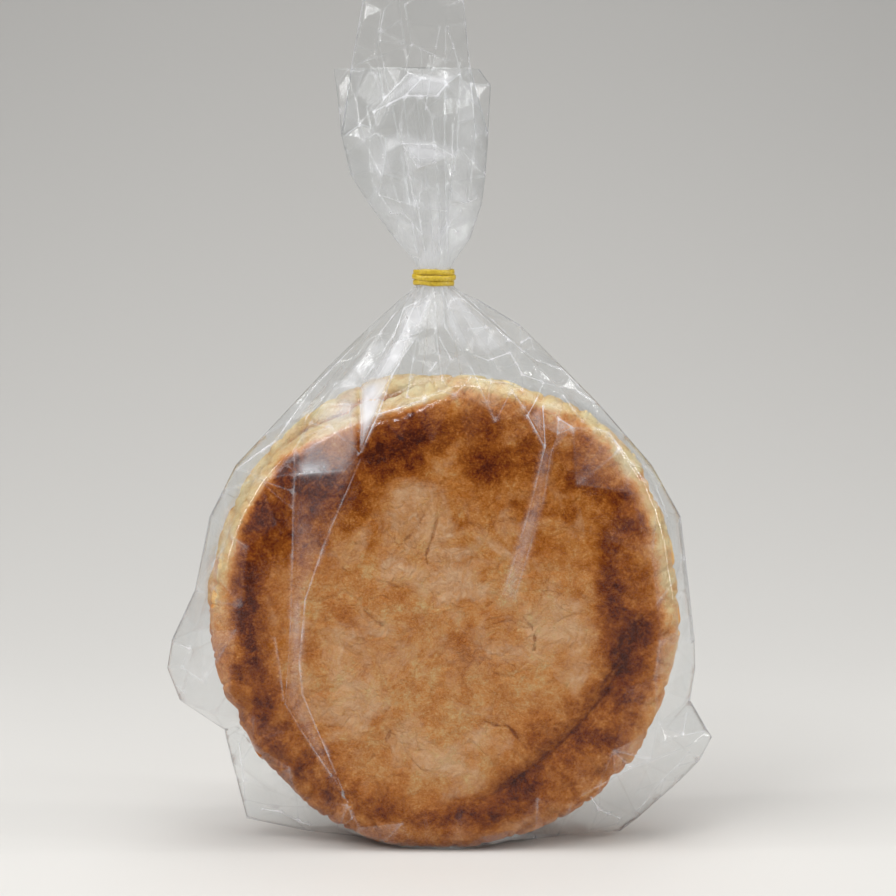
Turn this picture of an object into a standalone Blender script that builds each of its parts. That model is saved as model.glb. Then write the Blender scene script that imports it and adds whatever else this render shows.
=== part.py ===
"""Two flat gorditas standing on edge in a clear film bag, its neck gathered under a rubber band.

The bag and the breads in it are one solid: two round breads, one behind the other, joined
with the outer shape of the film. The rubber band is the second solid. X runs to the right,
Y to the rear and Z up. Lengths below are millimetres, and one unit of the scene is a metre.
"""

import math

import bmesh
import bpy
from mathutils import Vector, noise

MM = 0.001

# Breads: flat discs with a rounded, pinched rim
BREAD_RADIUS = 65.6
BREAD_THICKNESS = 17.0
BREAD_SINK = 1.2
BREAD_SEGMENTS = 84
RIM_PINCH = 0.55
FRONT_BREAD = {"x": 1.4, "y": -8.7, "lean": 0.0, "grow": 1.0, "seed": 3.0}
BACK_BREAD = {"x": -0.6, "y": 8.7, "lean": 0.6, "grow": 1.012, "seed": 11.0}

# Half of the bread's turned profile: share of the radius and share of half the thickness
BREAD_PROFILE = (
    (0.30, 1.000),
    (0.62, 0.985),
    (0.72, 0.930),
    (0.80, 0.985),
    (0.88, 0.955),
    (0.940, 0.800),
    (0.980, 0.500),
    (0.998, 0.180),
)

# Film below the band: height, left edge, right edge, half depth where it lies on the breads
POUCH_OUTLINE = (
    (-1.4, -14.0, 17.0, 11.0),
    (1.6, -38.0, 52.0, 14.0),
    (5.4, -55.8, 57.0, 15.6),
    (16.6, -58.5, 69.2, 16.4),
    (22.5, -60.0, 74.8, 16.4),
    (29.2, -61.6, 78.2, 16.4),
    (31.3, -61.9, 76.8, 16.4),
    (40.0, -74.7, 71.8, 16.4),
    (49.3, -78.2, 73.2, 16.4),
    (57.5, -76.8, 72.9, 16.4),
    (72.0, -70.0, 71.2, 16.4),
    (93.0, -65.6, 68.6, 16.4),
    (107.9, -58.0, 60.2, 16.4),
    (125.0, -41.8, 45.3, 15.0),
    (137.2, -30.3, 33.2, 12.2),
    (147.6, -19.2, 22.6, 8.6),
    (155.0, -11.0, 10.4, 5.6),
)

# Film above the band: height, left edge, right edge, half depth
MOUTH_OUTLINE = (
    (168.0, -9.0, 5.4, 5.4),
    (172.0, -12.8, 8.6, 6.6),
    (181.6, -19.9, 11.8, 9.0),
    (189.6, -25.0, 12.8, 10.4),
    (201.0, -27.6, 13.6, 11.2),
)

# The gathered neck and the band round it
NECK_X = -1.7
NECK_RADIUS = 4.6
BAND_BOTTOM = 158.7
BAND_TURNS = 3
BAND_TURN_HEIGHT = 1.6
BAND_THICKNESS = 1.1
BAND_GAP = 0.3
BAND_SEGMENTS = 40

# The two lips of the open mouth: the rear one stands higher than the front one
FRONT_LIP_LEFT = 219.0
FRONT_LIP_RIGHT = 214.5
REAR_LIP_LEFT = 247.0
REAR_LIP_RIGHT = 238.0
LIP_HALF_DEPTH = 5.0
LIP_CORNER = 4.0
REAR_LIP_EDGES = (-21.0, 6.6)
FRONT_LIP_EDGES = (-29.6, 14.2)
LIP_STEPS = 5

# Folds of the film
COLUMNS = 48
LEVEL_STEP = 5.0
PLEATS = 12
PLEAT_DEPTH = 0.11
CRUMPLE_SIZE = 17.0
CRUMPLE_DEPTH = 1.1


def blend(low, high, value):
    """Return 0 below low, 1 above high and a smooth step between them."""
    share = min(1.0, max(0.0, (value - low) / (high - low)))
    return share * share * (3.0 - 2.0 * share)


def along(rows, height):
    """Read a table of rows, each led by its height, at any height between its ends."""
    for lower, upper in zip(rows, rows[1:]):
        if height <= upper[0]:
            share = max(0.0, (height - lower[0]) / (upper[0] - lower[0]))
            return [a + (b - a) * share for a, b in zip(lower[1:], upper[1:])]
    return list(rows[-1][1:])


def levels(rows):
    """Return each row's height, with more between rows that are far apart."""
    heights = []
    for lower, upper in zip(rows, rows[1:]):
        steps = max(1, round((upper[0] - lower[0]) / LEVEL_STEP))
        heights += [lower[0] + (upper[0] - lower[0]) * i / steps for i in range(steps)]
    return heights + [rows[-1][0]]


def new_object(name, bm):
    """Turn a bmesh in millimetres into an object in metres."""
    bmesh.ops.recalc_face_normals(bm, faces=bm.faces)
    bmesh.ops.scale(bm, vec=(MM, MM, MM), verts=bm.verts)
    mesh = bpy.data.meshes.new(name)
    bm.to_mesh(mesh)
    bm.free()
    made = bpy.data.objects.new(name, mesh)
    bpy.context.collection.objects.link(made)
    return made


def skin(bm, rings):
    """Join rings of points, each closed on itself, with quads."""
    for lower, upper in zip(rings, rings[1:]):
        for i in range(len(lower)):
            j = (i + 1) % len(lower)
            bm.faces.new((lower[i], lower[j], upper[j], upper[i]))


def bread_radius(angle, bread):
    """Return the rim's radius: not quite round, and pinched all the way round."""
    way = Vector((math.cos(angle), math.sin(angle), bread["seed"]))
    wander = noise.noise(way * 1.3) * 1.6
    pinch = noise.noise(Vector((way.x * 9.0, way.y * 9.0, bread["seed"]))) * RIM_PINCH * 2.0
    corner = 1.8 * math.exp(-((angle - math.radians(40.0)) / 0.45) ** 2)
    return BREAD_RADIUS * bread["grow"] + wander * 0.5 + pinch + corner


def make_bread(bread):
    """Turn one bread about a level axis, resting a little below the ground level."""
    bm = bmesh.new()
    half = BREAD_THICKNESS / 2.0
    centre_z = BREAD_RADIUS * bread["grow"] - BREAD_SINK
    sides = [(r, -d) for r, d in BREAD_PROFILE] + [(r, d) for r, d in reversed(BREAD_PROFILE)]
    rings = []
    for share, depth in sides:
        ring = []
        for i in range(BREAD_SEGMENTS):
            angle = 2.0 * math.pi * i / BREAD_SEGMENTS
            radius = bread_radius(angle, bread) * share
            x = radius * math.cos(angle)
            z = radius * math.sin(angle)
            uneven = noise.noise(Vector((x, z, bread["seed"] * 9.0)) / 21.0) * 0.5 * share
            y = depth * half + math.copysign(uneven, depth)
            lean = math.tan(math.radians(bread["lean"])) * z
            ring.append(bm.verts.new((bread["x"] + x, bread["y"] + y + lean, centre_z + z)))
        rings.append(ring)
    skin(bm, rings)
    for ring in (rings[0], rings[-1]):
        hub = bm.verts.new(sum((v.co for v in ring), Vector()) / len(ring))
        for i in range(len(ring)):
            bm.faces.new((ring[i], ring[(i + 1) % len(ring)], hub))
    return new_object("bread", bm)


def pouch_point(column, height):
    """Return a point of the film round the breads, at one column and height."""
    angle = 2.0 * math.pi * column / COLUMNS
    left, right, depth = along(POUCH_OUTLINE, height)
    middle = (left + right) / 2.0
    half_width = (right - left) / 2.0
    x = middle - half_width * math.cos(angle)
    rise = height - (BREAD_RADIUS - BREAD_SINK)
    chord = math.sqrt(max(0.0, (BREAD_RADIUS * 0.95) ** 2 - rise * rise))
    to_edge = max(0.0, half_width - abs(x - middle))
    taut = depth * min(1.0, to_edge / max(2.0, half_width - chord))
    tied = depth * abs(math.sin(angle))
    gathered = blend(118.0, 155.0, height)
    y = (taut * (1.0 - gathered) + tied * gathered) * (-1.0 if column < COLUMNS / 2 else 1.0)
    pleat = math.sin(PLEATS * angle + height * 0.05) * PLEAT_DEPTH * gathered
    free = 1.0 - min(1.0, max(0.0, chord - abs(x)) / 12.0)
    crumple = noise.noise(Vector((x, y * 2.0, height)) / CRUMPLE_SIZE) * CRUMPLE_DEPTH * free
    edge = abs(math.cos(angle)) > 0.999
    y = y * (1.0 + pleat) + (0.0 if edge else crumple * math.sin(angle))
    return Vector((x, y, height))


def neck_point(column, height):
    """Return a point of the gathered neck, round so that the band closes on it."""
    angle = 2.0 * math.pi * column / COLUMNS
    x = NECK_X - NECK_RADIUS * math.cos(angle)
    return Vector((x, -NECK_RADIUS * math.sin(angle), height))


def mouth_point(column, height):
    """Return a point of the loose, pleated film above the band."""
    angle = 2.0 * math.pi * column / COLUMNS
    left, right, depth = along(MOUTH_OUTLINE, height)
    pleat = 1.0 + math.sin(PLEATS * angle + height * 0.07) * PLEAT_DEPTH * 1.3
    x = (left + right) / 2.0 - (right - left) / 2.0 * math.cos(angle)
    return Vector((x, -depth * math.sin(angle) * pleat, height))


def lip_point(column, share):
    """Return a point between the top of the mouth's table and the edge of its lips."""
    angle = 2.0 * math.pi * column / COLUMNS
    start = mouth_point(column, MOUTH_OUTLINE[-1][0])
    across = (1.0 - math.cos(angle)) / 2.0
    front = min(1.0, max(0.0, math.sin(angle)) * LIP_CORNER)
    rear = min(1.0, max(0.0, -math.sin(angle)) * LIP_CORNER)
    lift = FRONT_LIP_LEFT + (FRONT_LIP_RIGHT - FRONT_LIP_LEFT) * across
    rear_lift = REAR_LIP_LEFT + (REAR_LIP_RIGHT - REAR_LIP_LEFT) * across
    top_z = lift + (rear_lift - lift) * rear
    low, high = FRONT_LIP_EDGES
    rear_low, rear_high = REAR_LIP_EDGES
    front_x = low + (high - low) * across
    rear_x = rear_low + (rear_high - rear_low) * across
    top_x = front_x + (rear_x - front_x) * rear
    top_y = LIP_HALF_DEPTH * (rear - front)
    return start.lerp(Vector((top_x, top_y, top_z)), share)


def make_film():
    """Loft the outer shape of the film from the bag's bottom up to the lips of its mouth."""
    bm = bmesh.new()
    rings = []
    band_top = BAND_BOTTOM + BAND_TURNS * BAND_TURN_HEIGHT
    rows = [(pouch_point, height) for height in levels(POUCH_OUTLINE)]
    rows += [(neck_point, BAND_BOTTOM - 1.2), (neck_point, (BAND_BOTTOM + band_top) / 2.0)]
    rows += [(neck_point, band_top + 1.2)]
    rows += [(mouth_point, height) for height in levels(MOUTH_OUTLINE)]
    rows += [(lip_point, (i + 1) / LIP_STEPS) for i in range(LIP_STEPS)]
    for shape, place in rows:
        rings.append([bm.verts.new(shape(column, place)) for column in range(COLUMNS)])
    skin(bm, rings)
    for ring in (rings[0], rings[-1]):
        for i in range(COLUMNS // 2):
            a, b = ring[i], ring[(i + 1) % COLUMNS]
            c, d = ring[COLUMNS - 1 - i], ring[(COLUMNS - i) % COLUMNS]
            corners = list(dict.fromkeys((a, b, c, d)))
            if len(corners) > 2:
                bm.faces.new(corners)
    bmesh.ops.triangulate(bm, faces=bm.faces)
    return new_object("film", bm)


def plain_material(name, color, roughness, coat):
    """Give a Principled material in one colour."""
    material = bpy.data.materials.new(name)
    material.use_nodes = True
    shader = material.node_tree.nodes["Principled BSDF"]
    shader.inputs["Base Color"].default_value = (*color, 1.0)
    shader.inputs["Roughness"].default_value = roughness
    shader.inputs["Metallic"].default_value = 0.0
    shader.inputs["Coat Weight"].default_value = coat
    return material


def join_bag(film, breads):
    """Fuse the breads with the film's shape and cut the flat spot that it rests on."""
    for bread in breads:
        union = film.modifiers.new("join", "BOOLEAN")
        union.operation = "UNION"
        union.object = bread
    view = bpy.context.view_layer
    view.update()
    joined = film.evaluated_get(bpy.context.evaluated_depsgraph_get())
    bm = bmesh.new()
    bm.from_mesh(joined.to_mesh())
    for spare in [film, *breads]:
        bpy.data.objects.remove(spare)
    geometry = bm.verts[:] + bm.edges[:] + bm.faces[:]
    cut = bmesh.ops.bisect_plane(
        bm, geom=geometry, plane_co=(0.0, 0.0, 0.0), plane_no=(0.0, 0.0, 1.0), clear_inner=True
    )
    edges = [item for item in cut["geom_cut"] if isinstance(item, bmesh.types.BMEdge)]
    bmesh.ops.holes_fill(bm, edges=edges)
    bmesh.ops.scale(bm, vec=(1.0 / MM, 1.0 / MM, 1.0 / MM), verts=bm.verts)
    bmesh.ops.remove_doubles(bm, verts=bm.verts, dist=0.01)
    bmesh.ops.triangulate(bm, faces=bm.faces)
    bag = new_object("bag", bm)
    bag.data.materials.append(plain_material("bread_in_film", (0.42, 0.20, 0.07), 0.45, 0.6))
    return bag


def make_band():
    """Turn the rubber band: three wound turns that lie on each other round the neck."""
    bm = bmesh.new()
    inner = NECK_RADIUS + BAND_GAP
    crest = inner + BAND_THICKNESS
    valley = crest - BAND_THICKNESS * 0.3
    profile = [(inner, BAND_BOTTOM)]
    for turn in range(BAND_TURNS):
        low = BAND_BOTTOM + turn * BAND_TURN_HEIGHT
        profile.append((valley, low + 0.02 * BAND_TURN_HEIGHT))
        profile.append((crest, low + 0.3 * BAND_TURN_HEIGHT))
        profile.append((crest, low + 0.7 * BAND_TURN_HEIGHT))
    top = BAND_BOTTOM + BAND_TURNS * BAND_TURN_HEIGHT
    profile += [(valley, top), (inner, top)]
    rings = []
    for i in range(BAND_SEGMENTS):
        angle = 2.0 * math.pi * i / BAND_SEGMENTS
        way = Vector((math.cos(angle), math.sin(angle), 0.0))
        base = Vector((NECK_X, 0.0, 0.0))
        rings.append([bm.verts.new(base + way * r + Vector((0.0, 0.0, z))) for r, z in profile])
    skin(bm, rings + [rings[0]])
    band = new_object("band", bm)
    band.data.materials.append(plain_material("rubber", (0.62, 0.40, 0.02), 0.5, 0.0))
    return band


def centre(objects):
    """Move every mesh so that the middle of the whole stands over the origin."""
    points = [v.co for made in objects for v in made.data.vertices]
    middle_x = (min(p.x for p in points) + max(p.x for p in points)) / 2.0
    middle_y = (min(p.y for p in points) + max(p.y for p in points)) / 2.0
    for made in objects:
        for vertex in made.data.vertices:
            vertex.co.x -= middle_x
            vertex.co.y -= middle_y
        made.data.shade_smooth()
        made.data.set_sharp_from_angle(angle=math.radians(35.0))


def main():
    for left_over in list(bpy.data.objects):
        bpy.data.objects.remove(left_over)
    bag = join_bag(make_film(), [make_bread(FRONT_BREAD), make_bread(BACK_BREAD)])
    band = make_band()
    centre([bag, band])


main()
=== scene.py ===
"""Two gorditas in a clear film bag: the looks of every surface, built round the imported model.

Lengths inside the modelling functions are millimetres in the maker's frame: X to the right,
Y to the rear, Z up, with the camera in front. finish_piece() brings a piece into the frame
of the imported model, in metres. Pixel positions are read in the 896 by 896 photograph.
"""

import math
import random
from functools import partial

import bmesh
import bpy
import numpy as np
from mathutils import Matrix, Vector, noise
from mathutils.geometry import delaunay_2d_cdt


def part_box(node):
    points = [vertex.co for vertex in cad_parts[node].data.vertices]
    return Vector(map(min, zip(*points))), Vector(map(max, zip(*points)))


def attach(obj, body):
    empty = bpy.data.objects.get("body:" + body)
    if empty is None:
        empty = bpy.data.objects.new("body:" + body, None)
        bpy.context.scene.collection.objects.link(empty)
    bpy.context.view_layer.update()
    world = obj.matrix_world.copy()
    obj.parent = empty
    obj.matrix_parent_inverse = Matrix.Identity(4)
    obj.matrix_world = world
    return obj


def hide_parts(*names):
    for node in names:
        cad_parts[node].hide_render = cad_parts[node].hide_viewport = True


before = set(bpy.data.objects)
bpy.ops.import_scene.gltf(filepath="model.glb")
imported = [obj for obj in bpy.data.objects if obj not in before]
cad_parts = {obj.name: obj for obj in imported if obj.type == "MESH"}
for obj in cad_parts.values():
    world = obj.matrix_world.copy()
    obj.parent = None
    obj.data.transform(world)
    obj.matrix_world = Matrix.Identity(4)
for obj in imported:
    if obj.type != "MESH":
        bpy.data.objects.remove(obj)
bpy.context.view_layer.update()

bl_info = {
    "name": "Bagged Gorditas",
    "version": (1, 0, 0),
    "blender": (4, 5, 0),
    "location": "View3D > Sidebar > Gorditas",
    "description": "Builds two gorditas in a clear film bag with a rubber band",
    "category": "Add Mesh",
}

MM = 0.001
BODY = "root"

# The neck's axis in the maker's frame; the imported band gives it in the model's frame
NECK_X = -1.7
BAND_LOW, BAND_HIGH = (Vector(corner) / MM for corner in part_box("band"))
SHIFT = Vector(((BAND_LOW.x + BAND_HIGH.x) / 2.0 - NECK_X, (BAND_LOW.y + BAND_HIGH.y) / 2.0, 0.0))

# The camera that took the photograph, in the maker's frame
PHOTO_SIDE = 896.0
FOCAL_PIXELS = 2141.5
CAMERA_PLACE = Vector((2.3, -605.2, 171.0))
CAMERA_TILT = 5.5

# Breads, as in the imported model
BREAD_RADIUS = 65.6
BREAD_THICKNESS = 17.0
BREAD_SINK = 1.2
BREAD_REST = 0.35
FRONT_BREAD = {"x": 1.4, "y": -8.7, "lean": 0.0, "grow": 1.0, "seed": 3.0, "side": -1.0}
BACK_BREAD = {"x": -0.6, "y": 8.7, "lean": 0.6, "grow": 1.012, "seed": 11.0, "side": 1.0}

# Swellings and notches of each rim: angle from the right, half width, rise in millimetres
FRONT_BREAD["rim"] = (
    (50.0, 30.0, 6.0),
    (86.0, 11.0, 3.2),
    (103.0, 3.0, -0.9),
    (134.0, 24.0, 1.7),
    (186.0, 8.0, 0.7),
    (203.0, 2.2, -1.3),
    (222.0, 12.0, -0.9),
    (318.0, 14.0, 0.6),
)
BACK_BREAD["rim"] = ((40.0, 26.0, 3.0), (104.0, 24.0, 2.3), (140.0, 18.0, 0.5), (203.0, 5.0, -0.8))

# How browned the rims are: angle from the right and browning
RIM_TOAST = (
    (0.0, 0.22),
    (16.0, 0.14),
    (40.0, 0.07),
    (90.0, 0.05),
    (150.0, 0.06),
    (170.0, 0.18),
    (182.0, 0.34),
    (192.0, 0.42),
    (205.0, 0.48),
    (270.0, 0.54),
    (318.0, 0.33),
    (345.0, 0.22),
    (360.0, 0.22),
)

# How finely a bread is turned: steps, and straight cuts of each step
BREAD_STEPS = 156
RING_CUTS = 3
FACE_RINGS = 96
RIM_RINGS = 26
INNER_RINGS = 10

# A bread's profile, in shares of its radius and of its half thickness: the rim, the raised ring
# inside it and the flatter middle
RIM_START = 0.86
RIM_TOP = 0.965
RIM_CURVE = 2.3
RING_PLACE, RING_WIDTH, RING_RISE = 0.80, 0.05, 0.02
MIDDLE_TOP, MIDDLE_FALL = 0.995, 0.02
MIDDLE_EDGE = (0.62, 0.76)

# Widths and depths of the fine cracks and of the step round the raised middle
CRACK_WIDTH, CRACK_DEPTH = 0.52, 0.4
STEP_WIDTH, STEP_DEPTH = 2.6, 1.3

# Browning of a whole face, and the shares of the radius between which it gives way to the rim's.
# Each row moves those two shares round one angle: angle, half width, inner share, outer share
FACE_TOAST = 0.30
FADE_START, FADE_END = 0.90, 0.965
RIM_FADES = (
    (88.0, 38.0, -0.01, -0.01),
    (136.0, 20.0, 0.035, 0.015),
    (174.0, 16.0, -0.015, 0.0),
    (14.0, 22.0, -0.03, 0.0),
    (64.0, 18.0, 0.035, 0.015),
)

# Film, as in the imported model: height, left edge, right edge, half depth
POUCH_OUTLINE = (
    (0.15, -25.0, 34.0, 13.0),
    (1.6, -38.0, 52.0, 14.0),
    (5.4, -55.8, 57.0, 16.2),
    (16.6, -58.5, 69.2, 17.4),
    (22.5, -60.0, 74.8, 17.4),
    (29.2, -61.6, 78.2, 17.4),
    (31.3, -61.9, 76.8, 17.4),
    (40.0, -74.7, 71.8, 17.4),
    (49.3, -78.2, 73.2, 17.4),
    (57.5, -76.8, 72.9, 17.4),
    (72.0, -70.0, 71.2, 17.4),
    (93.0, -65.6, 68.6, 17.4),
    (107.9, -58.0, 60.2, 17.4),
    (125.0, -41.8, 45.3, 15.6),
    (137.2, -30.3, 33.2, 12.2),
    (147.6, -19.2, 22.6, 8.6),
    (155.0, -11.0, 10.4, 5.6),
    (158.0, -6.6, 3.2, 4.6),
    (160.2, -6.1, 2.7, 4.4),
)
LIP_ROOT = (
    (162.4, -6.1, 2.7, 4.4),
    (165.0, -6.9, 3.6, 4.8),
    (172.0, -12.8, 8.6, 6.6),
    (181.6, -19.9, 11.8, 9.0),
    (189.6, -25.0, 12.8, 10.4),
    (201.0, -27.6, 13.6, 11.2),
)
FRONT_LIP = (*LIP_ROOT, (214.5, -28.9, 14.2, 6.6), (219.0, -29.6, 11.0, 5.0))
REAR_LIP = (
    *LIP_ROOT,
    (219.0, -24.8, 8.6, 8.6),
    (238.0, -21.4, 6.6, 6.4),
    (246.6, -20.4, -6.0, 5.4),
)

# Browned patches on the front face: pixel, half width and height in pixels, turn, strength
FRONT_TOAST = (
    (399, 449, 40, 28, -20, 0.75), (415, 421, 18, 16, 0, 0.45), (369, 459, 16, 14, 0, 0.40),
    (353, 495, 22, 16, 0, 0.42), (350, 523, 18, 14, 0, 0.28), (318, 478, 26, 34, -30, 0.56),
    (308, 525, 18, 34, 0, 0.60), (289, 468, 14, 22, -35, 0.50), (268, 502, 15, 30, -32, 0.60),
    (250, 535, 14, 26, -15, 0.56), (279, 468, 13, 26, -42, 0.50), (256, 505, 11, 24, -30, 0.45),
    (238, 546, 9, 22, -12, 0.40), (280, 545, 18, 20, 0, 0.30), (247, 585, 13, 24, 0, 0.55),
    (249, 622, 13, 26, -4, 0.80), (256, 658, 12, 22, 10, 0.50), (230, 680, 12, 20, 20, 0.42),
    (262, 706, 14, 26, 25, 0.50), (281, 740, 11, 24, 30, 0.60), (300, 768, 11, 24, 35, 0.62),
    (325, 795, 12, 22, 45, 0.50), (315, 651, 10, 8, 0, 0.26), (492, 425, 26, 18, 10, 0.42),
    (489, 465, 22, 20, 25, 0.72), (450, 424, 14, 12, 0, 0.25), (529, 452, 15, 22, 0, 0.42),
    (583, 452, 20, 16, 0, 0.28), (560, 480, 22, 12, 0, 0.24), (590, 486, 26, 14, 15, 0.40),
    (623, 500, 20, 22, -20, 0.40), (516, 508, 26, 10, 10, 0.32), (563, 515, 20, 10, 10, 0.36),
    (618, 527, 26, 14, 0, 0.32), (546, 550, 16, 10, 0, 0.26), (614, 562, 14, 30, 0, 0.62),
    (612, 605, 17, 28, 0, 0.58), (634, 636, 18, 20, 10, 0.78), (622, 662, 12, 22, -30, 0.60),
    (630, 700, 16, 18, 0, 0.40), (590, 696, 24, 12, -25, 0.28), (540, 735, 20, 18, 10, 0.36),
    (582, 748, 26, 15, -40, 0.48), (604, 738, 14, 12, -40, 0.32), (526, 788, 18, 16, -30, 0.66),
    (496, 812, 26, 12, -18, 0.56), (446, 815, 34, 14, -5, 0.50), (385, 810, 22, 10, 15, 0.22),
    (461, 634, 18, 12, 0, 0.28), (469, 655, 16, 10, 0, 0.28), (340, 612, 20, 11, 10, 0.20),
    (472, 522, 20, 10, 0, 0.18), (436, 556, 12, 16, 20, 0.14), (350, 621, 14, 10, 0, 0.14),
    (339, 747, 18, 14, 0, 0.18), (491, 712, 14, 9, 0, 0.14),
)

# Patches where flour has kept the dough pale, in the same order
FRONT_FLOUR = (
    (402, 500, 34, 22, -20, 0.9), (442, 540, 28, 36, 10, 1.1), (415, 578, 38, 18, 10, 0.9),
    (466, 587, 40, 12, 12, 1.4), (345, 662, 20, 34, 0, 0.9), (364, 704, 22, 24, 0, 0.8),
    (540, 618, 36, 28, 0, 0.9), (520, 660, 30, 20, 0, 0.8), (578, 652, 14, 26, 0, 0.7),
    (452, 764, 40, 20, 0, 0.8), (492, 742, 24, 12, 0, 0.9), (575, 536, 16, 14, 0, 0.8),
    (400, 660, 22, 18, 0, 0.5),
)

# Fine cracks of the front face, as pixels along each
FRONT_CRACKS = (
    ((437, 520), (432, 538), (426, 556), (428, 566)),
    ((365, 611), (374, 620), (383, 626)),
    ((524, 618), (532, 628), (535, 640), (534, 650)),
    ((486, 722), (497, 726), (508, 727), (518, 738), (526, 748)),
    ((390, 730), (386, 742)),
    ((633, 642), (618, 664), (605, 684), (599, 702)),
    ((404, 542), (416, 530), (424, 516)),
    ((342, 568), (352, 576)),
    ((374, 756), (366, 764)),
)

# The lower step of the raised middle, on the right and at the bottom; the shade along it is painted in as
# darker browning and as a darkened line
STEP_LINE = ((640, 630), (622, 668), (600, 702), (572, 735), (541, 762), (508, 788), (480, 800))

# Folds of the film: lift in millimetres, whiteness, and pixels along each. The whiteness is partly the
# folded film's own whitening and partly a painted glint along the fold
POUCH_FOLDS = (
    (0.8, 0.9, ((352, 348), (314, 386), (276, 440), (237, 468))),
    (0.8, 0.3, ((367, 342), (346, 371), (310, 423), (295, 449), (295, 474), (293, 509), (292, 600))),
    (1.3, 1.0, ((436, 292), (404, 308), (394, 336), (364, 380), (359, 386))),
    (0.8, 0.6, ((406, 317), (423, 330), (394, 344))),
    (1.1, 1.0, ((421, 331), (406, 352), (392, 375), (379, 411), (360, 453))),
    (0.4, 0.4, ((359, 386), (373, 400), (392, 375))),
    (0.4, 0.4, ((359, 386), (362, 423), (360, 451))),
    (-0.4, 0.2, ((350, 405), (354, 444))),
    (0.6, 0.25, ((310, 423), (331, 425), (360, 453), (345, 470), (295, 474))),
    (0.7, 0.35, ((360, 459), (345, 495), (323, 547), (305, 600))),
    (0.5, 0.4, ((305, 600), (302, 632), (299, 661), (302, 692), (315, 724), (335, 772), (359, 826))),
    (0.5, 0.4, ((292, 600), (289, 653), (285, 703), (302, 731), (321, 759), (343, 791), (353, 817))),
    (0.4, 0.2, ((275, 638), (280, 664), (284, 700))),
    (0.4, 0.9, ((377, 413), (400, 406), (425, 398))),
    (0.7, 0.6, ((239, 743), (245, 798))),
    (0.6, 0.7, ((262, 809), (280, 811), (299, 821), (310, 825))),
    (0.6, 0.8, ((168, 642), (190, 648))),
    (-0.5, 0.6, ((182, 668), (204, 682))),
    (0.5, 0.6, ((176, 684), (184, 693))),
    (1.4, 0.8, ((443, 286), (445, 327), (461, 350), (488, 360), (510, 352), (522, 374), (543, 382))),
    (1.1, 0.9, ((461, 286), (498, 329), (522, 350), (537, 361), (563, 368), (578, 376), (596, 395))),
    (-0.5, 0.4, ((447, 307), (471, 313), (488, 327), (469, 329))),
    (0.8, 0.7, ((521, 343), (535, 337), (533, 348))),
    (0.6, 0.6, ((543, 382), (578, 391), (601, 401), (596, 421))),
    (0.7, 0.9, ((544, 382), (527, 413), (545, 447))),
    (0.6, 0.9, ((541, 404), (545, 447))),
    (0.6, 0.3, ((545, 447), (531, 505), (516, 556), (504, 594))),
    (0.3, 0.2, ((551, 450), (543, 500), (527, 556), (514, 598))),
    (0.6, 0.8, ((557, 416), (571, 425), (557, 433), (557, 416))),
    (0.4, 0.5, ((563, 395), (580, 419), (606, 429), (641, 476), (667, 515))),
    (0.7, 1.0, ((645, 466), (661, 484), (656, 487), (665, 509))),
    (0.4, 0.7, ((439, 338), (451, 359), (461, 354))),
    (0.3, 0.6, ((431, 370), (437, 362))),
    (0.3, 0.5, ((400, 406), (424, 399), (439, 390), (455, 394), (471, 377), (510, 383), (522, 388))),
    (0.5, 0.5, ((690, 745), (631, 767), (583, 795))),
    (0.5, 0.5, ((690, 751), (663, 780), (631, 826))),
    (0.7, 1.0, ((591, 796), (599, 809), (620, 818), (617, 824))),
    (0.5, 0.5, ((687, 713), (683, 735), (705, 731))),
)
FRONT_MOUTH_FOLDS = (
    (1.5, 0.9, ((373, 112), (405, 96), (422, 79), (409, 73), (373, 112))),
    (0.9, 0.8, ((405, 96), (437, 96), (447, 84), (460, 74))),
    (-1.0, 0.5, ((345, 135), (360, 124), (369, 127), (385, 138), (400, 129))),
    (1.0, 0.7, ((385, 138), (385, 160), (379, 195))),
    (1.2, 0.8, ((402, 144), (435, 145), (455, 157), (418, 168), (402, 144))),
    (-1.4, 0.5, ((460, 80), (457, 147), (447, 211), (437, 250))),
    (1.2, 0.8, ((471, 84), (475, 135), (468, 202))),
    (0.8, 0.6, ((379, 195), (418, 207), (447, 211))),
    (0.7, 0.6, ((452, 204), (468, 202), (477, 199))),
    (-0.8, 0.4, ((447, 224), (457, 225))),
    (0.6, 0.7, ((391, 213), (403, 213), (422, 234), (418, 207))),
    (0.5, 0.7, ((406, 255), (420, 258))),
)
REAR_MOUTH_FOLDS = (
    (1.2, 0.8, ((447, 26), (459, 65), (460, 76))),
    (-1.0, 0.6, ((440, 27), (432, 69), (425, 110))),
    (1.4, 0.7, ((384, 10), (376, 52), (384, 98), (372, 130))),
    (-1.1, 0.5, ((404, 4), (412, 44), (402, 84))),
    (1.0, 0.6, ((366, 60), (412, 44), (447, 60))),
)

# Doubled film, whitish partly of itself and partly from a painted highlight: strength and the pixels round
# each place
POUCH_VEILS_AND_GLINTS = (
    (0.06, ((308, 440), (295, 452), (293, 509), (289, 653), (305, 600), (323, 547), (345, 495), (360, 459))),
    (0.17, ((346, 392), (358, 420), (358, 453), (343, 474), (297, 477), (308, 440))),
    (0.24, ((297, 458), (330, 462), (335, 474), (296, 478))),
    (0.50, ((436, 292), (404, 308), (394, 336), (359, 386), (373, 400), (392, 375), (421, 331))),
    (0.85, ((392, 375), (379, 411), (360, 453), (359, 386))),
    (0.24, ((394, 336), (359, 386), (358, 420), (331, 425), (310, 423), (346, 371), (367, 342))),
    (0.26, ((443, 286), (445, 327), (461, 350), (510, 352), (498, 329), (461, 286))),
    (0.20, ((527, 413), (541, 400), (545, 447))),
    (0.30, ((556, 414), (573, 425), (556, 434))),
    (0.10, ((541, 447), (553, 447), (545, 500), (529, 556), (515, 600), (502, 596), (514, 550), (529, 500))),
    (0.10, ((292, 600), (289, 653), (285, 703), (353, 817), (359, 826), (315, 724), (302, 692), (305, 600))),
)
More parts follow.
